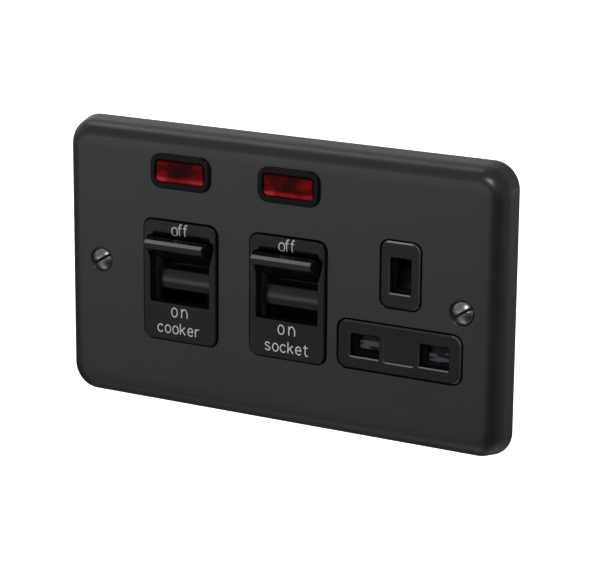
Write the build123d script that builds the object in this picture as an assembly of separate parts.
"""Cooker control unit: two lever switches, two neons and a switched socket on a double wall plate.

Millimetres. The origin is the centre of the plate's rear rim, on the wall.
-Y is the front, +X is to the right seen from the front, +Z is up.
"""
import os
from build123d import *

os.makedirs("parts", exist_ok=True)

# Front plate
PLATE_W = 146.5
PLATE_H = 86.0
PLATE_DEPTH = 8.3
PLATE_CORNER = 7.75
SHEET = 1.2
EDGE_ROLL = 5.0
EDGE_DRAFT = 9.0
FACE = -PLATE_DEPTH
SHEET_BACK = FACE + SHEET
SCREW_CENTRES = 120.6

# Switches
SWITCH_X = {"cooker": -32.15, "socket": 4.4}
BEZEL_Z = -3.4
BEZEL_W = 25.1
BEZEL_H = 36.4
BEZEL_FRONT = FACE - 0.8
BEZEL_BACK = -5.8
APERTURE_W = 20.5
APERTURE_BOTTOM = -10.2
APERTURE_TOP = 11.2
FLARE_W = 23.7
LEVER_W = 19.8
PIVOT_Y = 4.0
PIVOT_Z = 0.5
HALF_THROW = 24.7
PIN_R = 1.25
EAR_NEAR = 10.3
EAR_FAR = 12.9
POLE_OFFSET = 5.0
POLES = {"cooker": ("live", "neutral"), "socket": ("neutral", "live")}
ROCKER_TILT = 9.0
FULCRUM_Y = 17.95
FULCRUM_R = 0.7

# Neons
NEON_X = {"cooker": -32.0, "socket": 4.6}
NEON_Z = 30.0
LENS_W = 17.0
LENS_H = 6.8
LAMP_Y = -3.6
LAMP_R = 1.9
LEAD_R = 0.3
RESISTOR_Y = 1.0

# Socket, with the standard pin positions
SOCKET_X = 40.93
EARTH_PIN_Z = 8.2
PIN_SPACING = 22.2
PIN_DROP = 22.23
PIN_ROW_Z = EARTH_PIN_Z - PIN_DROP
PIN_X = {"live": SOCKET_X - PIN_SPACING / 2, "neutral": SOCKET_X + PIN_SPACING / 2}
PAD_FACE = FACE - 0.4
PAD_STEP = PAD_FACE + 2.8
SHUTTER = (-4.1, -2.3)
COVER = (-2.0, -0.6)
SPRING_SEAT_Z = -28.0
RIM_WALL = 1.2

# Depths behind the plate
MOULDING = (-5.7, -3.2)
SOCKET_SHEET = (-7.0, -4.4)
BASE_FRONT = -3.1
BASE_BACK = 21.6
FLOOR = 19.4
WALL = 1.6
BASE_LEFT = -51.6
BASE_RIGHT = 57.2
BASE_BOTTOM = -33.0
BASE_TOP = 36.0
CASE_H = BASE_TOP - BASE_BOTTOM
CASE_Z = (BASE_TOP + BASE_BOTTOM) / 2
DIVIDE_X = 19.0

# Brass
STRIP = (18.2, 19.2)
STRIP_HALF = 2.2
CLIP_HALF = 3.4
BLOCK = (9.4, 18.2)
BLOCK_HALF = 3.8
CABLE_Y = 13.2
CABLE_R = 2.6
TOP_BLOCK = (22.4, 33.4)
BOTTOM_BLOCK = (-31.2, -20.2)
EARTH_BLOCK = (23.8, 33.4)
EARTH_X = -13.9
EARTH_CABLES = (EARTH_X - 3.3, EARTH_X + 3.3)
EARTH_CABLE_R = 2.1
TERMINAL_SCREW_R = 1.7
LINK_FRONT = (6.2, 7.2)

# Fixings
FIXING_R = 1.75
FIXING_NECK_R = 1.55
FIXING_HEAD_R = 3.5
SLOT_TURN = 32.0
ASSEMBLY_R = 1.5
BOSS_R = 2.9
PILLAR_R = 3.6
SCREW_WELL_R = 2.7
CABLE_ENTRY = 0.8
ASSEMBLY_POINTS = [(-47.5, -28.5), (-47.5, 31.5), (53.3, -28.5), (53.3, 31.5)]
EARTH_STRAP_Z = 30.4


def polygon(*points):
    """A filled outline through the points, whichever way round they are given."""
    ahead = points[1:] + points[:1]
    turn = sum(x0 * y1 - x1 * y0 for (x0, y0), (x1, y1) in zip(points, ahead))
    return Polygon(*(points if turn > 0 else points[::-1]), align=None)


def around(centre, half):
    """The (low, high) pair of a span given by its centre and half width."""
    return centre - half, centre + half


def block(x, y, z):
    """A box from three (low, high) pairs."""
    size = [high - low for low, high in (x, y, z)]
    centre = [(high + low) / 2 for low, high in (x, y, z)]
    return Pos(*centre) * Box(*size)


def slab(outline, front, back, taper=0.0):
    """An outline drawn as seen from the front, between two depths. Taper narrows it forwards."""
    plane = Plane(origin=(0, back, 0), x_dir=(1, 0, 0), z_dir=(0, -1, 0))
    return extrude(plane * outline, amount=back - front, taper=taper)


def side_profile(outline, left, right):
    """An outline drawn in Y and Z, between two X positions."""
    plane = Plane(origin=(left, 0, 0), x_dir=(0, 1, 0), z_dir=(1, 0, 0))
    return extrude(plane * outline, amount=right - left)


def rod_x(x, y, z, radius):
    return Pos((x[0] + x[1]) / 2, y, z) * Rot(0, 90, 0) * Cylinder(radius, x[1] - x[0])


def rod_y(x, y, z, radius):
    return Pos(x, (y[0] + y[1]) / 2, z) * Rot(90, 0, 0) * Cylinder(radius, y[1] - y[0])


def rod_z(x, y, z, radius):
    return Pos(x, y, (z[0] + z[1]) / 2) * Cylinder(radius, z[1] - z[0])


def cone_y(x, z, y, front_r, back_r):
    """A cone along Y, with its front radius first."""
    return Pos(x, (y[0] + y[1]) / 2, z) * Rot(90, 0, 0) * Cone(back_r, front_r, y[1] - y[0])


def rounded(x, z, width, height, radius):
    return Pos(x, z) * RectangleRounded(width, height, radius)


def front_edges(solid):
    return solid.faces().sort_by(Axis.Y)[0].edges()


def edge_bevel(outline, face, size):
    """What a bevel takes off round an opening in a face."""
    plane = Plane(origin=(0, face, 0), x_dir=(1, 0, 0), z_dir=(0, -1, 0))
    return extrude(plane * offset(outline, size, kind=Kind.INTERSECTION), amount=-2 * size, taper=45)


def keep(name, shape):
    """Write one sub-part."""
    export_step(shape, f"parts/{name}.step")


def pole_x(switch, pole):
    """X of a pole. The poles stand either side of the lever's middle."""
    side = POLES[switch].index(pole) * 2 - 1
    return SWITCH_X[switch] + side * POLE_OFFSET


def plate_windows():
    """Two windows for switches, two for neons and two for the socket's pads."""
    windows = [rounded(x, BEZEL_Z, BEZEL_W + 0.8, BEZEL_H + 0.8, 3.1) for x in SWITCH_X.values()]
    windows += [rounded(x, NEON_Z, 19.6, 8.9, 2.3) for x in NEON_X.values()]
    windows.append(rounded(SOCKET_X, EARTH_PIN_Z + 0.2, 13.3, 20.3, 2.9))
    windows.append(rounded(SOCKET_X - 0.1, PIN_ROW_Z + 0.1, 40.2, 15.1, 3.2))
    return windows


def tapped_boss(x, z, back):
    """A round boss on the back of the sheet, and the hole in it."""
    return rod_y(x, (SHEET_BACK, back), z, BOSS_R) - rod_y(x, (SHEET_BACK, back), z, ASSEMBLY_R + 0.02)


def front_plate():
    """A pressed sheet with rolled edges, dimpled for its screws, with bosses welded behind."""
    outer = slab(RectangleRounded(PLATE_W, PLATE_H, PLATE_CORNER), FACE, 0, EDGE_DRAFT)
    outer = fillet(front_edges(outer), EDGE_ROLL)
    inner = RectangleRounded(PLATE_W - 2 * SHEET, PLATE_H - 2 * SHEET, PLATE_CORNER - SHEET)
    inner = slab(inner, SHEET_BACK, 0, EDGE_DRAFT)
    inner = fillet(front_edges(inner), EDGE_ROLL - SHEET)
    plate = outer - inner
    for x in around(0, SCREW_CENTRES / 2):
        plate += cone_y(x, 0, (SHEET_BACK - 0.1, -5.5), 5.3, 3.6)
        plate -= cone_y(x, 0, (FACE, -6.3), 3.85, 2.1)
        plate -= rod_y(x, (-7.0, -5.0), 0, 2.1)
    for window in plate_windows():
        plate -= slab(window, FACE - 1, SHEET_BACK + 0.5)
        plate -= edge_bevel(window, FACE, 0.2)
    for x, z in ASSEMBLY_POINTS:
        plate += tapped_boss(x, z, BASE_FRONT)
    return plate + tapped_boss(EARTH_X, EARTH_STRAP_Z, -5.3)


def fixing_screw(x):
    """A slotted raised countersunk screw, its slot turned as in the photograph."""
    rim = FACE + 0.25
    crown = rim - 0.87
    shank = Polyline((0, crown), (0, 19.0), (FIXING_R, 19.0), (FIXING_R, -4.6), (FIXING_NECK_R, -4.8),
                     (FIXING_NECK_R, -6.2), (FIXING_HEAD_R, rim))
    dome = ThreePointArc((FIXING_HEAD_R, rim), (1.9, rim - 0.624), (0, crown))
    slot = Pos(0, FACE - 0.6, 0) * Rot(0, -SLOT_TURN, 0) * Box(8, 1.9, 0.95)
    return Pos(x, 0, 0) * (revolve(make_face(shank + dome), Axis.Y) - slot)


def lever(x):
    """Handle bar, the skirt above and below it, the drum and the boss that guides the plungers."""
    bar = polygon((-18.2, 2.0), (-3.0, 2.5), (-3.0, -2.5), (-18.2, -2.0))
    profile = fillet(bar.vertices().group_by(Axis.X)[0], 1.1)
    profile += Circle(5.6) + Pos(4.3, 0) * Rectangle(8.6, 6.4)
    for side in (-1, 1):
        skirt = polygon((-7.4, side * 4.5), (-6.1, side * 10.3), (-3.8, side * 10.6), (-1.2, side * 4.6))
        profile += fillet(skirt.vertices().sort_by(Axis.X)[:2], 0.6)
    body = side_profile(profile, -LEVER_W / 2, LEVER_W / 2)
    ends = body.faces().filter_by(Axis.X).edges()
    body = fillet([edge for edge in ends if edge.center().Y < -5.7], 0.4)
    body -= rod_x((-LEVER_W, LEVER_W), 0, 0, PIN_R + 0.05)
    for pole in around(0, POLE_OFFSET):
        body -= rod_y(pole, (2.7, 9.0), 0, 1.95)
    return Pos(x, PIVOT_Y, PIVOT_Z) * Rot(-HALF_THROW, 0, 0) * body


def plunger(x):
    """A domed pin that slides in the lever's boss."""
    body = rod_y(x, (6.2, 10.2), 0, 1.7) + Pos(x, 10.2, 0) * Sphere(1.7)
    return body - rod_y(x, (6.0, 9.4), 0, 1.0)


def coil(x, length, turns, radius, wire):
    """A coil spring standing along Z from the origin."""
    path = Helix(pitch=(length - 2 * wire) / turns, height=length - 2 * wire, radius=radius)
    section = Plane(origin=path @ 0, z_dir=path % 0) * Circle(wire)
    return Pos(x, 0, wire) * sweep(section, path)


def in_lever(switch, shape):
    return Pos(SWITCH_X[switch], PIVOT_Y, PIVOT_Z) * Rot(-HALF_THROW, 0, 0) * shape


def rocker(x):
    """A bent copper strip that tips on its fulcrum, with a contact button at its upper end."""
    line = Polyline((-3.1, -9.6), (-3.1, -5.4), (-1.15, -1.2), (-1.15, 1.2), (-3.1, 5.4), (-3.1, 9.6))
    body = side_profile(trace(line, 1.2), -STRIP_HALF, STRIP_HALF)
    body += rod_y(0, (-2.6, -1.6), 8.0, 1.6)
    body -= rod_x((-3, 3), 0, 0, FULCRUM_R + 0.05)
    return Pos(x, FULCRUM_Y, PIVOT_Z) * Rot(ROCKER_TILT, 0, 0) * body


def strip(x, z):
    """A brass strip against the base's floor."""
    return block(x, STRIP, z)


def screw_points(block_z, cables):
    """Where the terminal screws stand over a block."""
    middle = (block_z[0] + block_z[1]) / 2
    if len(cables) == 1:
        return [(cables[0], z) for z in around(middle, 2.75)]
    return [(x, middle) for x in cables]


def terminal(x, z, cables, cable_r):
    """A brass block bored for its cables, with its screw holes."""
    body = chamfer(block(x, BLOCK, z).edges(), 0.3)
    for cable in cables:
        body -= rod_z(cable, CABLE_Y, (z[0] - 1, z[1] + 1), cable_r)
    for screw_x, screw_z in screw_points(z, cables):
        body -= rod_y(screw_x, (CABLE_Y, BLOCK[1] + 1), screw_z, TERMINAL_SCREW_R + 0.03)
    return body


def terminal_screw(x, z):
    """A slotted cheese head screw, backed off clear of the cable's way."""
    body = rod_y(x, (16.1, STRIP[1]), z, TERMINAL_SCREW_R) + rod_y(x, (STRIP[1], 21.0), z, 2.5)
    return body - block(around(x, 3), (20.1, 21.2), around(z, 0.35))


def with_screw_holes(shape, points):
    for x, z in points:
        shape -= rod_y(x, (STRIP[0] - 1, STRIP[1] + 1), z, TERMINAL_SCREW_R + 0.1)
    return shape


def supply_contact(switch, pole):
    """A fixed contact: its strip goes up to the supply."""
    x = pole_x(switch, pole)
    top = TOP_BLOCK[1] if switch == "cooker" else (20.4 if pole == "live" else 18.5)
    body = strip(around(x, STRIP_HALF), (7.0, top)) + rod_y(x, (17.85, STRIP[0]), PIVOT_Z + 8.0, 1.6)
    if switch == "cooker":
        body = with_screw_holes(body, screw_points(TOP_BLOCK, [x]))
    return body


def load_contact(switch, pole):
    """The fulcrum of a rocker, a round ridge in the rocker's groove. Its strip goes down to the load."""
    x = pole_x(switch, pole)
    bottom = BOTTOM_BLOCK[0] if switch == "cooker" else (-12.0 if pole == "live" else -20.5)
    ridge = rod_x(around(x, STRIP_HALF), FULCRUM_Y, PIVOT_Z, FULCRUM_R)
    body = strip(around(x, STRIP_HALF), (bottom, 2.2)) + ridge
    if switch == "cooker":
        body = with_screw_holes(body, screw_points(BOTTOM_BLOCK, [x]))
    return body


def link_live():
    """A bridge from the live supply terminal to the socket switch, clear in front of the neutral."""
    left = pole_x("cooker", "live")
    right = pole_x("socket", "live")
    bar = block((left - 3.1, right + STRIP_HALF), LINK_FRONT, (19.6, 23.4))
    foot = block(around(left, 3.1), (LINK_FRONT[0], BLOCK[0]), (22.6, 23.4))
    leg = block(around(right, STRIP_HALF), (LINK_FRONT[0], STRIP[0]), (19.6, 20.4))
    return bar + foot + leg


def link_neutral():
    left = pole_x("cooker", "neutral") + STRIP_HALF
    right = pole_x("socket", "neutral") - STRIP_HALF
    return strip((left, right), (15.0, 18.5))


def clip_leaf(back):
    """One springy leaf of a pin clip, pinched near its mouth, drawn in Y and across the pin."""
    return trace(Polyline((1.0, 3.3), (2.6, 2.55), (5.0, 2.75), (back, 2.75)), 0.8)


def pin_clip(half):
    """A clip of two leaves either side of the pin's middle plane, with its back. Leaves lie in Z."""
    leaf = side_profile(clip_leaf(STRIP[0]), -half, half)
    back = block((-half, half), (STRIP[0] - 0.8, STRIP[0]), (-3.15, 3.15))
    return leaf + mirror(leaf, Plane.XY) + back


def socket_clip_live():
    x = PIN_X["live"]
    tail = strip((pole_x("socket", "live") - STRIP_HALF, x + CLIP_HALF), (-16.0, -12.0))
    return Pos(x, 0, PIN_ROW_Z) * pin_clip(CLIP_HALF) + tail


def socket_clip_neutral():
    x = PIN_X["neutral"]
    tail = strip((pole_x("socket", "neutral") - STRIP_HALF, x + 2.2), (-24.0, -20.5))
    riser = strip(around(x, 2.2), (-20.6, -11.2))
    return Pos(x, 0, PIN_ROW_Z) * pin_clip(CLIP_HALF) + tail + riser


def socket_clip_earth():
    clip = Pos(SOCKET_X, 0, EARTH_PIN_Z) * Rot(0, 90, 0) * pin_clip(4.3)
    riser = strip(around(SOCKET_X, 2.2), (4.0, 30.5))
    run = strip((EARTH_X - 6.4, SOCKET_X + 2.2), (26.5, 30.5))
    return with_screw_holes(clip + riser + run, screw_points(EARTH_BLOCK, EARTH_CABLES))


def earth_strap():
    """From the plate's boss back to the earth terminal."""
    foot = block(around(EARTH_X, 2.5), (-5.3, -4.5), (26.4, 33.4))
    leg = block(around(EARTH_X, 2.5), (-5.3, BLOCK[0]), (26.4, 27.2))
    tab = block(around(EARTH_X, 2.5), (BLOCK[0] - 0.8, BLOCK[0]), (26.4, 31.0))
    return foot + leg + tab - rod_y(EARTH_X, (-6, -4), EARTH_STRAP_Z, ASSEMBLY_R + 0.1)


def earth_strap_screw():
    body = rod_y(EARTH_X, (-6.9, -4.5), EARTH_STRAP_Z, ASSEMBLY_R)
    body += rod_y(EARTH_X, (-4.5, -2.9), EARTH_STRAP_Z, 2.5)
    return body - block(around(EARTH_X, 3), (-3.7, -2.8), around(EARTH_STRAP_Z, 0.35))


def assembly_screw(x, z):
    body = rod_y(x, (-6.8, 19.1), z, ASSEMBLY_R) + rod_y(x, (19.1, 21.0), z, 2.7)
    return body - block(around(x, 3), (20.0, 21.2), around(z, 0.4))


def switch_bezel(x):
    """A frame with a flange behind the plate. Its window flares at the top for the handle."""
    frame = slab(rounded(x, BEZEL_Z, BEZEL_W, BEZEL_H, 2.8), BEZEL_FRONT, -6.9)
    frame = fillet(front_edges(frame), 0.35)
    frame += slab(rounded(x, BEZEL_Z, BEZEL_W + 3.6, BEZEL_H + 3.6, 3.5), -7.0, BEZEL_BACK)
    middle = (APERTURE_TOP + APERTURE_BOTTOM) / 2
    frame -= slab(rounded(x, middle, APERTURE_W, APERTURE_TOP - APERTURE_BOTTOM, 0.3), -12, 0)
    half = FLARE_W / 2
    inner = APERTURE_W / 2 - 0.2
    flare = polygon((-half, APERTURE_TOP), (-half, 7.6), (-inner, 1.2), (inner, 1.2), (half, 7.6),
                    (half, APERTURE_TOP))
    flare = fillet(flare.vertices().sort_by(Axis.Y)[2:4], 5.0)
    plane = Plane(origin=(x, BEZEL_FRONT, 0), x_dir=(1, 0, 0), z_dir=(0, -1, 0))
    return frame - extrude(plane * flare, amount=-3.3, taper=22)


def neon_bezel(x):
    """A black surround that snaps into the plate."""
    flange = slab(rounded(x, NEON_Z, 20.4, 9.6, 3.4), FACE - 1.0, FACE - 0.02)
    flange = fillet(front_edges(flange), 0.55)
    body = slab(rounded(x, NEON_Z, 19.2, 8.5, 2.1), FACE - 0.1, -3.4)
    snaps = slab(Pos(x, NEON_Z) * Rectangle(20.6, 3.0), SHEET_BACK + 0.1, -6.0)
    return flange + body + snaps - slab(rounded(x, NEON_Z, LENS_W, LENS_H, 1.2), -12, 0)


def neon_lens(x):
    """A red tray, hollow behind, ribbed inside to spread the light."""
    front = FACE - 0.75
    tray = slab(rounded(x, NEON_Z, LENS_W - 0.1, LENS_H - 0.1, 1.15), front, -5.6)
    tray = fillet(front_edges(tray), 0.4)
    tray -= slab(rounded(x, NEON_Z, LENS_W - 2.0, LENS_H - 2.0, 0.6), front + 1.1, 0)
    for step in range(-3, 4):
        tray += block(around(x + step * 2.1, 0.3), (front + 1.0, front + 1.5), around(NEON_Z, 2.5))
    return tray


def neon_lamp(x):
    """A glass tube with a pinched end and two leads."""
    lamp = rod_x((x - 4.0, x + 3.4), LAMP_Y, NEON_Z, LAMP_R) + Pos(x + 3.4, LAMP_Y, NEON_Z) * Sphere(LAMP_R)
    lamp += block((x - 5.4, x - 3.9), around(LAMP_Y, 0.6), around(NEON_Z, 1.6))
    for z in around(NEON_Z, 1.0):
        lamp += rod_x((x - 7.2, x - 5.3), LAMP_Y, z, LEAD_R)
    return lamp


def neon_resistor(x):
    """A ballast resistor with its leads, behind the lamp."""
    body = rod_x(around(x, 3.0), RESISTOR_Y, NEON_Z, 1.0)
    for end in around(x, 2.7):
        body += rod_x(around(end, 0.6), RESISTOR_Y, NEON_Z, 1.2)
    return body + rod_x(around(x, 6.0), RESISTOR_Y, NEON_Z, LEAD_R)


def switch_moulding():
    """A carrier plate with a bearing either side of each lever and a tub behind each neon."""
    width = DIVIDE_X - BASE_LEFT
    plate = slab(rounded(BASE_LEFT + width / 2, CASE_Z, width, CASE_H, 2.0), *MOULDING)
    for x, z in ASSEMBLY_POINTS[:2]:
        plate -= rod_y(x, (-8, 0), z, BOSS_R + 0.3)
    plate -= block(around(EARTH_X, 3.2), (-8, 0), (25.4, 34.4))
    for x in SWITCH_X.values():
        plate -= block(around(x, EAR_NEAR), (-8, 0), (PIVOT_Z - 12.8, PIVOT_Z + 12.8))
        for side in (-1, 1):
            ear_x = sorted((x + side * EAR_NEAR, x + side * EAR_FAR))
            outline = polygon((-3.3, -6.5), (-3.3, 7.5), (PIVOT_Y, 4.4), (PIVOT_Y, -3.4))
            ear = side_profile(outline + Pos(PIVOT_Y, PIVOT_Z) * Circle(3.9), *ear_x)
            plate += ear - rod_x((ear_x[0] - 1, ear_x[1] + 1), PIVOT_Y, PIVOT_Z, PIN_R + 0.03)
    for x in NEON_X.values():
        plate += slab(rounded(x, NEON_Z, 21.0, 8.4, 1.5), MOULDING[1] - 0.1, 3.8)
        plate -= slab(rounded(x, NEON_Z, 19.6, 6.8, 1.0), MOULDING[0] - 1, 2.8)
        plate -= slab(rounded(x, NEON_Z, 21.2, 9.2, 2.3), MOULDING[0] - 1, MOULDING[1])
    return plate


def pad(x, z, width, height, radius):
    """A pad that stands through the plate's window."""
    body = slab(rounded(x, z, width, height, radius), PAD_FACE, SOCKET_SHEET[0] + 0.1)
    return fillet(front_edges(body), 0.4)


def pin_hole(x, z, mouth, throat):
    """A pin hole: a wide mouth with a ledge, then the throat."""
    mouth = Pos(x, z) * Rectangle(*mouth)
    throat = Pos(x, z) * Rectangle(*throat)
    hole = slab(mouth, PAD_FACE - 1, PAD_STEP) + slab(throat, PAD_STEP - 1, 0)
    return hole + edge_bevel(mouth, PAD_FACE, 0.3)


def socket_moulding():
    """The pads with their pin holes, the shutter's guides and the seat of its spring."""
    width = BASE_RIGHT - DIVIDE_X - 0.3
    middle = BASE_RIGHT - width / 2
    outline = rounded(middle, CASE_Z, width, CASE_H, 2.0)
    body = slab(outline, *SOCKET_SHEET)
    body += slab(rounded(SOCKET_X + 9, PIN_ROW_Z, 26.0, 18.0, 3.0), *SOCKET_SHEET)
    body += pad(SOCKET_X, EARTH_PIN_Z + 0.2, 12.4, 19.4, 2.5)
    body += pad(SOCKET_X - 0.1, PIN_ROW_Z + 0.1, 39.3, 14.2, 2.8)
    rim = slab(outline, SOCKET_SHEET[1] - 0.1, MOULDING[1])
    rim -= slab(Pos(middle, CASE_Z) * Rectangle(width - 2 * RIM_WALL, CASE_H - 2 * RIM_WALL), -8, 0)
    body += rim
    for side in (-1, 1):
        guide = sorted((SOCKET_X + side * 3.6, SOCKET_X + side * 4.8))
        body += block(guide, (SOCKET_SHEET[1] - 0.1, COVER[0] - 0.1), (-10.4, 2.4))
    body += block(around(SOCKET_X, 2.4), (SOCKET_SHEET[1] - 0.1, COVER[0] - 0.1), (-30.0, SPRING_SEAT_Z))
    for x, z in cover_pegs():
        body += rod_y(x, (SOCKET_SHEET[1] - 0.1, COVER[1]), z, 1.2)
    for x, z in ASSEMBLY_POINTS[2:]:
        body -= rod_y(x, (-8, 0), z, BOSS_R + 0.3)
    body -= rod_y(SCREW_CENTRES / 2, (-8, 0), 0, 5.8)
    for x in PIN_X.values():
        body -= pin_hole(x, PIN_ROW_Z, (9.3, 6.7), (7.0, 4.8))
    body -= pin_hole(SOCKET_X, EARTH_PIN_Z, (6.7, 10.4), (5.0, 9.0))
    panel = slab(rounded(SOCKET_X - 0.1, PIN_ROW_Z + 0.1, 9.4, 7.6, 0.3), PAD_FACE - 1, PAD_FACE + 0.35)
    return body - panel


def cover_pegs():
    return [(23.5, 14.0), (23.5, -22.2), (53.3, 14.0)]


def shutter():
    """Blades across the live and neutral holes, joined to a ramp in the earth hole."""
    blades = block((PIN_X["live"] - 3.9, PIN_X["neutral"] + 3.4), SHUTTER, (-16.9, -11.2))
    stem = block(around(SOCKET_X, 3.1), SHUTTER, (-11.3, 3.7))
    ramp = polygon((SHUTTER[0], 3.6), (-0.6, 9.3), (0.5, 9.3), (0.5, 5.2), (SHUTTER[1], 1.2), (SHUTTER[0], 1.2))
    peg = rod_z(SOCKET_X, sum(SHUTTER) / 2, (-18.2, -16.8), 0.5)
    return blades + stem + side_profile(ramp, *around(SOCKET_X, 3.1)) + peg


def shutter_cover():
    """A plate behind the shutter, staked on the moulding's pegs, with windows for the pins."""
    body = block((20.9, BASE_RIGHT - WALL - 0.3), COVER, (-24.4, 19.0))
    body += block(around(SOCKET_X, 4.0), COVER, (-30.8, -24.3))
    for x in PIN_X.values():
        body -= block(around(x, 3.8), (-3, 0), around(PIN_ROW_Z, 2.7))
    body -= block(around(SOCKET_X, 3.7), (-3, 0), (-4.9, 13.2))
    for x, z in cover_pegs():
        body -= rod_y(x, (-3, 0), z, 1.23)
    return body


def base_moulding():
    """The rear case: a tray with screw pillars, barriers between poles and ways in for cables."""
    width = BASE_RIGHT - BASE_LEFT
    middle = (BASE_LEFT + BASE_RIGHT) / 2
    envelope = slab(rounded(middle, CASE_Z, width, CASE_H, 2.0), BASE_FRONT, BASE_BACK)
    body = chamfer(envelope.faces().sort_by(Axis.Y)[-1].edges(), 0.8)
    body -= slab(rounded(middle, CASE_Z, width - 2 * WALL, CASE_H - 2 * WALL, 0.8), BASE_FRONT - 1, FLOOR)
    for x, z in ASSEMBLY_POINTS:
        body += rod_y(x, (BASE_FRONT, FLOOR + 0.1), z, PILLAR_R) & envelope
        body -= rod_y(x, (-9, 30), z, ASSEMBLY_R + 0.2)
        body -= rod_y(x, (19.1, 30), z, 3.0)
    for switch, x in SWITCH_X.items():
        body += block(around(x, 0.7), (14.3, FLOOR + 0.1), (-11.0, 12.5))
        for side in (-14.6, 13.3):
            body += block((x + side, x + side + 1.3), (BASE_FRONT + 0.3, FLOOR + 0.1), (-11.0, 14.0))
    cooker = SWITCH_X["cooker"]
    body += block(around(cooker, 0.6), (8.0, FLOOR + 0.1), (20.4, BASE_TOP - 1))
    body += block(around(cooker, 0.6), (8.0, FLOOR + 0.1), (BASE_BOTTOM + 1, -18.8))
    for pole in POLES["cooker"]:
        x = pole_x("cooker", pole)
        body -= rod_z(x, CABLE_Y, (BASE_BOTTOM - 1, BASE_BOTTOM + WALL + 0.1), CABLE_R + CABLE_ENTRY)
        body -= rod_z(x, CABLE_Y, (BASE_TOP - WALL - 0.1, BASE_TOP + 1), CABLE_R + CABLE_ENTRY)
        for z in (TOP_BLOCK, BOTTOM_BLOCK):
            for screw_x, screw_z in screw_points(z, [x]):
                body -= rod_y(screw_x, (FLOOR - 1, 30), screw_z, SCREW_WELL_R)
    for x in EARTH_CABLES:
        body -= rod_z(x, CABLE_Y, (BASE_TOP - WALL - 0.1, BASE_TOP + 1), EARTH_CABLE_R + CABLE_ENTRY)
    for screw_x, screw_z in screw_points(EARTH_BLOCK, EARTH_CABLES):
        body -= rod_y(screw_x, (FLOOR - 1, 30), screw_z, SCREW_WELL_R)
    return body


def make_switch(switch):
    x = SWITCH_X[switch]
    keep(f"switch_bezel_{switch}", switch_bezel(x))
    keep(f"lever_{switch}", lever(x))
    keep(f"pivot_pin_{switch}", rod_x(around(x, EAR_FAR), PIVOT_Y, PIVOT_Z, PIN_R))
    plungers = [plunger(pole) for pole in around(0, POLE_OFFSET)]
    keep(f"plungers_{switch}", in_lever(switch, Compound(children=plungers)))
    springs = [coil(pole, 6.3, 4, 0.62, 0.16) for pole in around(0, POLE_OFFSET)]
    springs = Pos(0, 2.9, 0) * Rot(-90, 0, 0) * Compound(children=springs)
    keep(f"plunger_springs_{switch}", in_lever(switch, springs))
    for pole in POLES[switch]:
        keep(f"rocker_{switch}_{pole}", rocker(pole_x(switch, pole)))
        keep(f"supply_contact_{switch}_{pole}", supply_contact(switch, pole))
        keep(f"load_contact_{switch}_{pole}", load_contact(switch, pole))
    keep(f"neon_bezel_{switch}", neon_bezel(NEON_X[switch]))
    keep(f"neon_lens_{switch}", neon_lens(NEON_X[switch]))
    keep(f"neon_lamp_{switch}", neon_lamp(NEON_X[switch]))
    keep(f"neon_resistor_{switch}", neon_resistor(NEON_X[switch]))


def make_terminals():
    screws = []
    for side, z in (("supply", TOP_BLOCK), ("load", BOTTOM_BLOCK)):
        for pole in POLES["cooker"]:
            x = pole_x("cooker", pole)
            keep(f"terminal_{side}_{pole}", terminal(around(x, BLOCK_HALF), z, [x], CABLE_R))
            screws += [terminal_screw(*point) for point in screw_points(z, [x])]
    keep("terminal_earth", terminal(around(EARTH_X, 6.4), EARTH_BLOCK, EARTH_CABLES, EARTH_CABLE_R))
    screws += [terminal_screw(*point) for point in screw_points(EARTH_BLOCK, EARTH_CABLES)]
    keep("terminal_screws", Compound(children=screws))


def make_socket():
    keep("socket_moulding", socket_moulding())
    keep("shutter", shutter())
    keep("shutter_cover", shutter_cover())
    spring = Pos(SOCKET_X, sum(SHUTTER) / 2, SPRING_SEAT_Z) * coil(0, 11.0, 6, 0.8, 0.16)
    keep("shutter_spring", spring)
    keep("socket_clip_live", socket_clip_live())
    keep("socket_clip_neutral", socket_clip_neutral())
    keep("socket_clip_earth", socket_clip_earth())


keep("front_plate", front_plate())
keep("fixing_screws", Compound(children=[fixing_screw(x) for x in around(0, SCREW_CENTRES / 2)]))
keep("switch_moulding", switch_moulding())
keep("base_moulding", base_moulding())
keep("assembly_screws", Compound(children=[assembly_screw(*point) for point in ASSEMBLY_POINTS]))
keep("link_live", link_live())
keep("link_neutral", link_neutral())
keep("earth_strap", earth_strap())
keep("earth_strap_screw", earth_strap_screw())
for switch in SWITCH_X:
    make_switch(switch)
make_terminals()
make_socket()
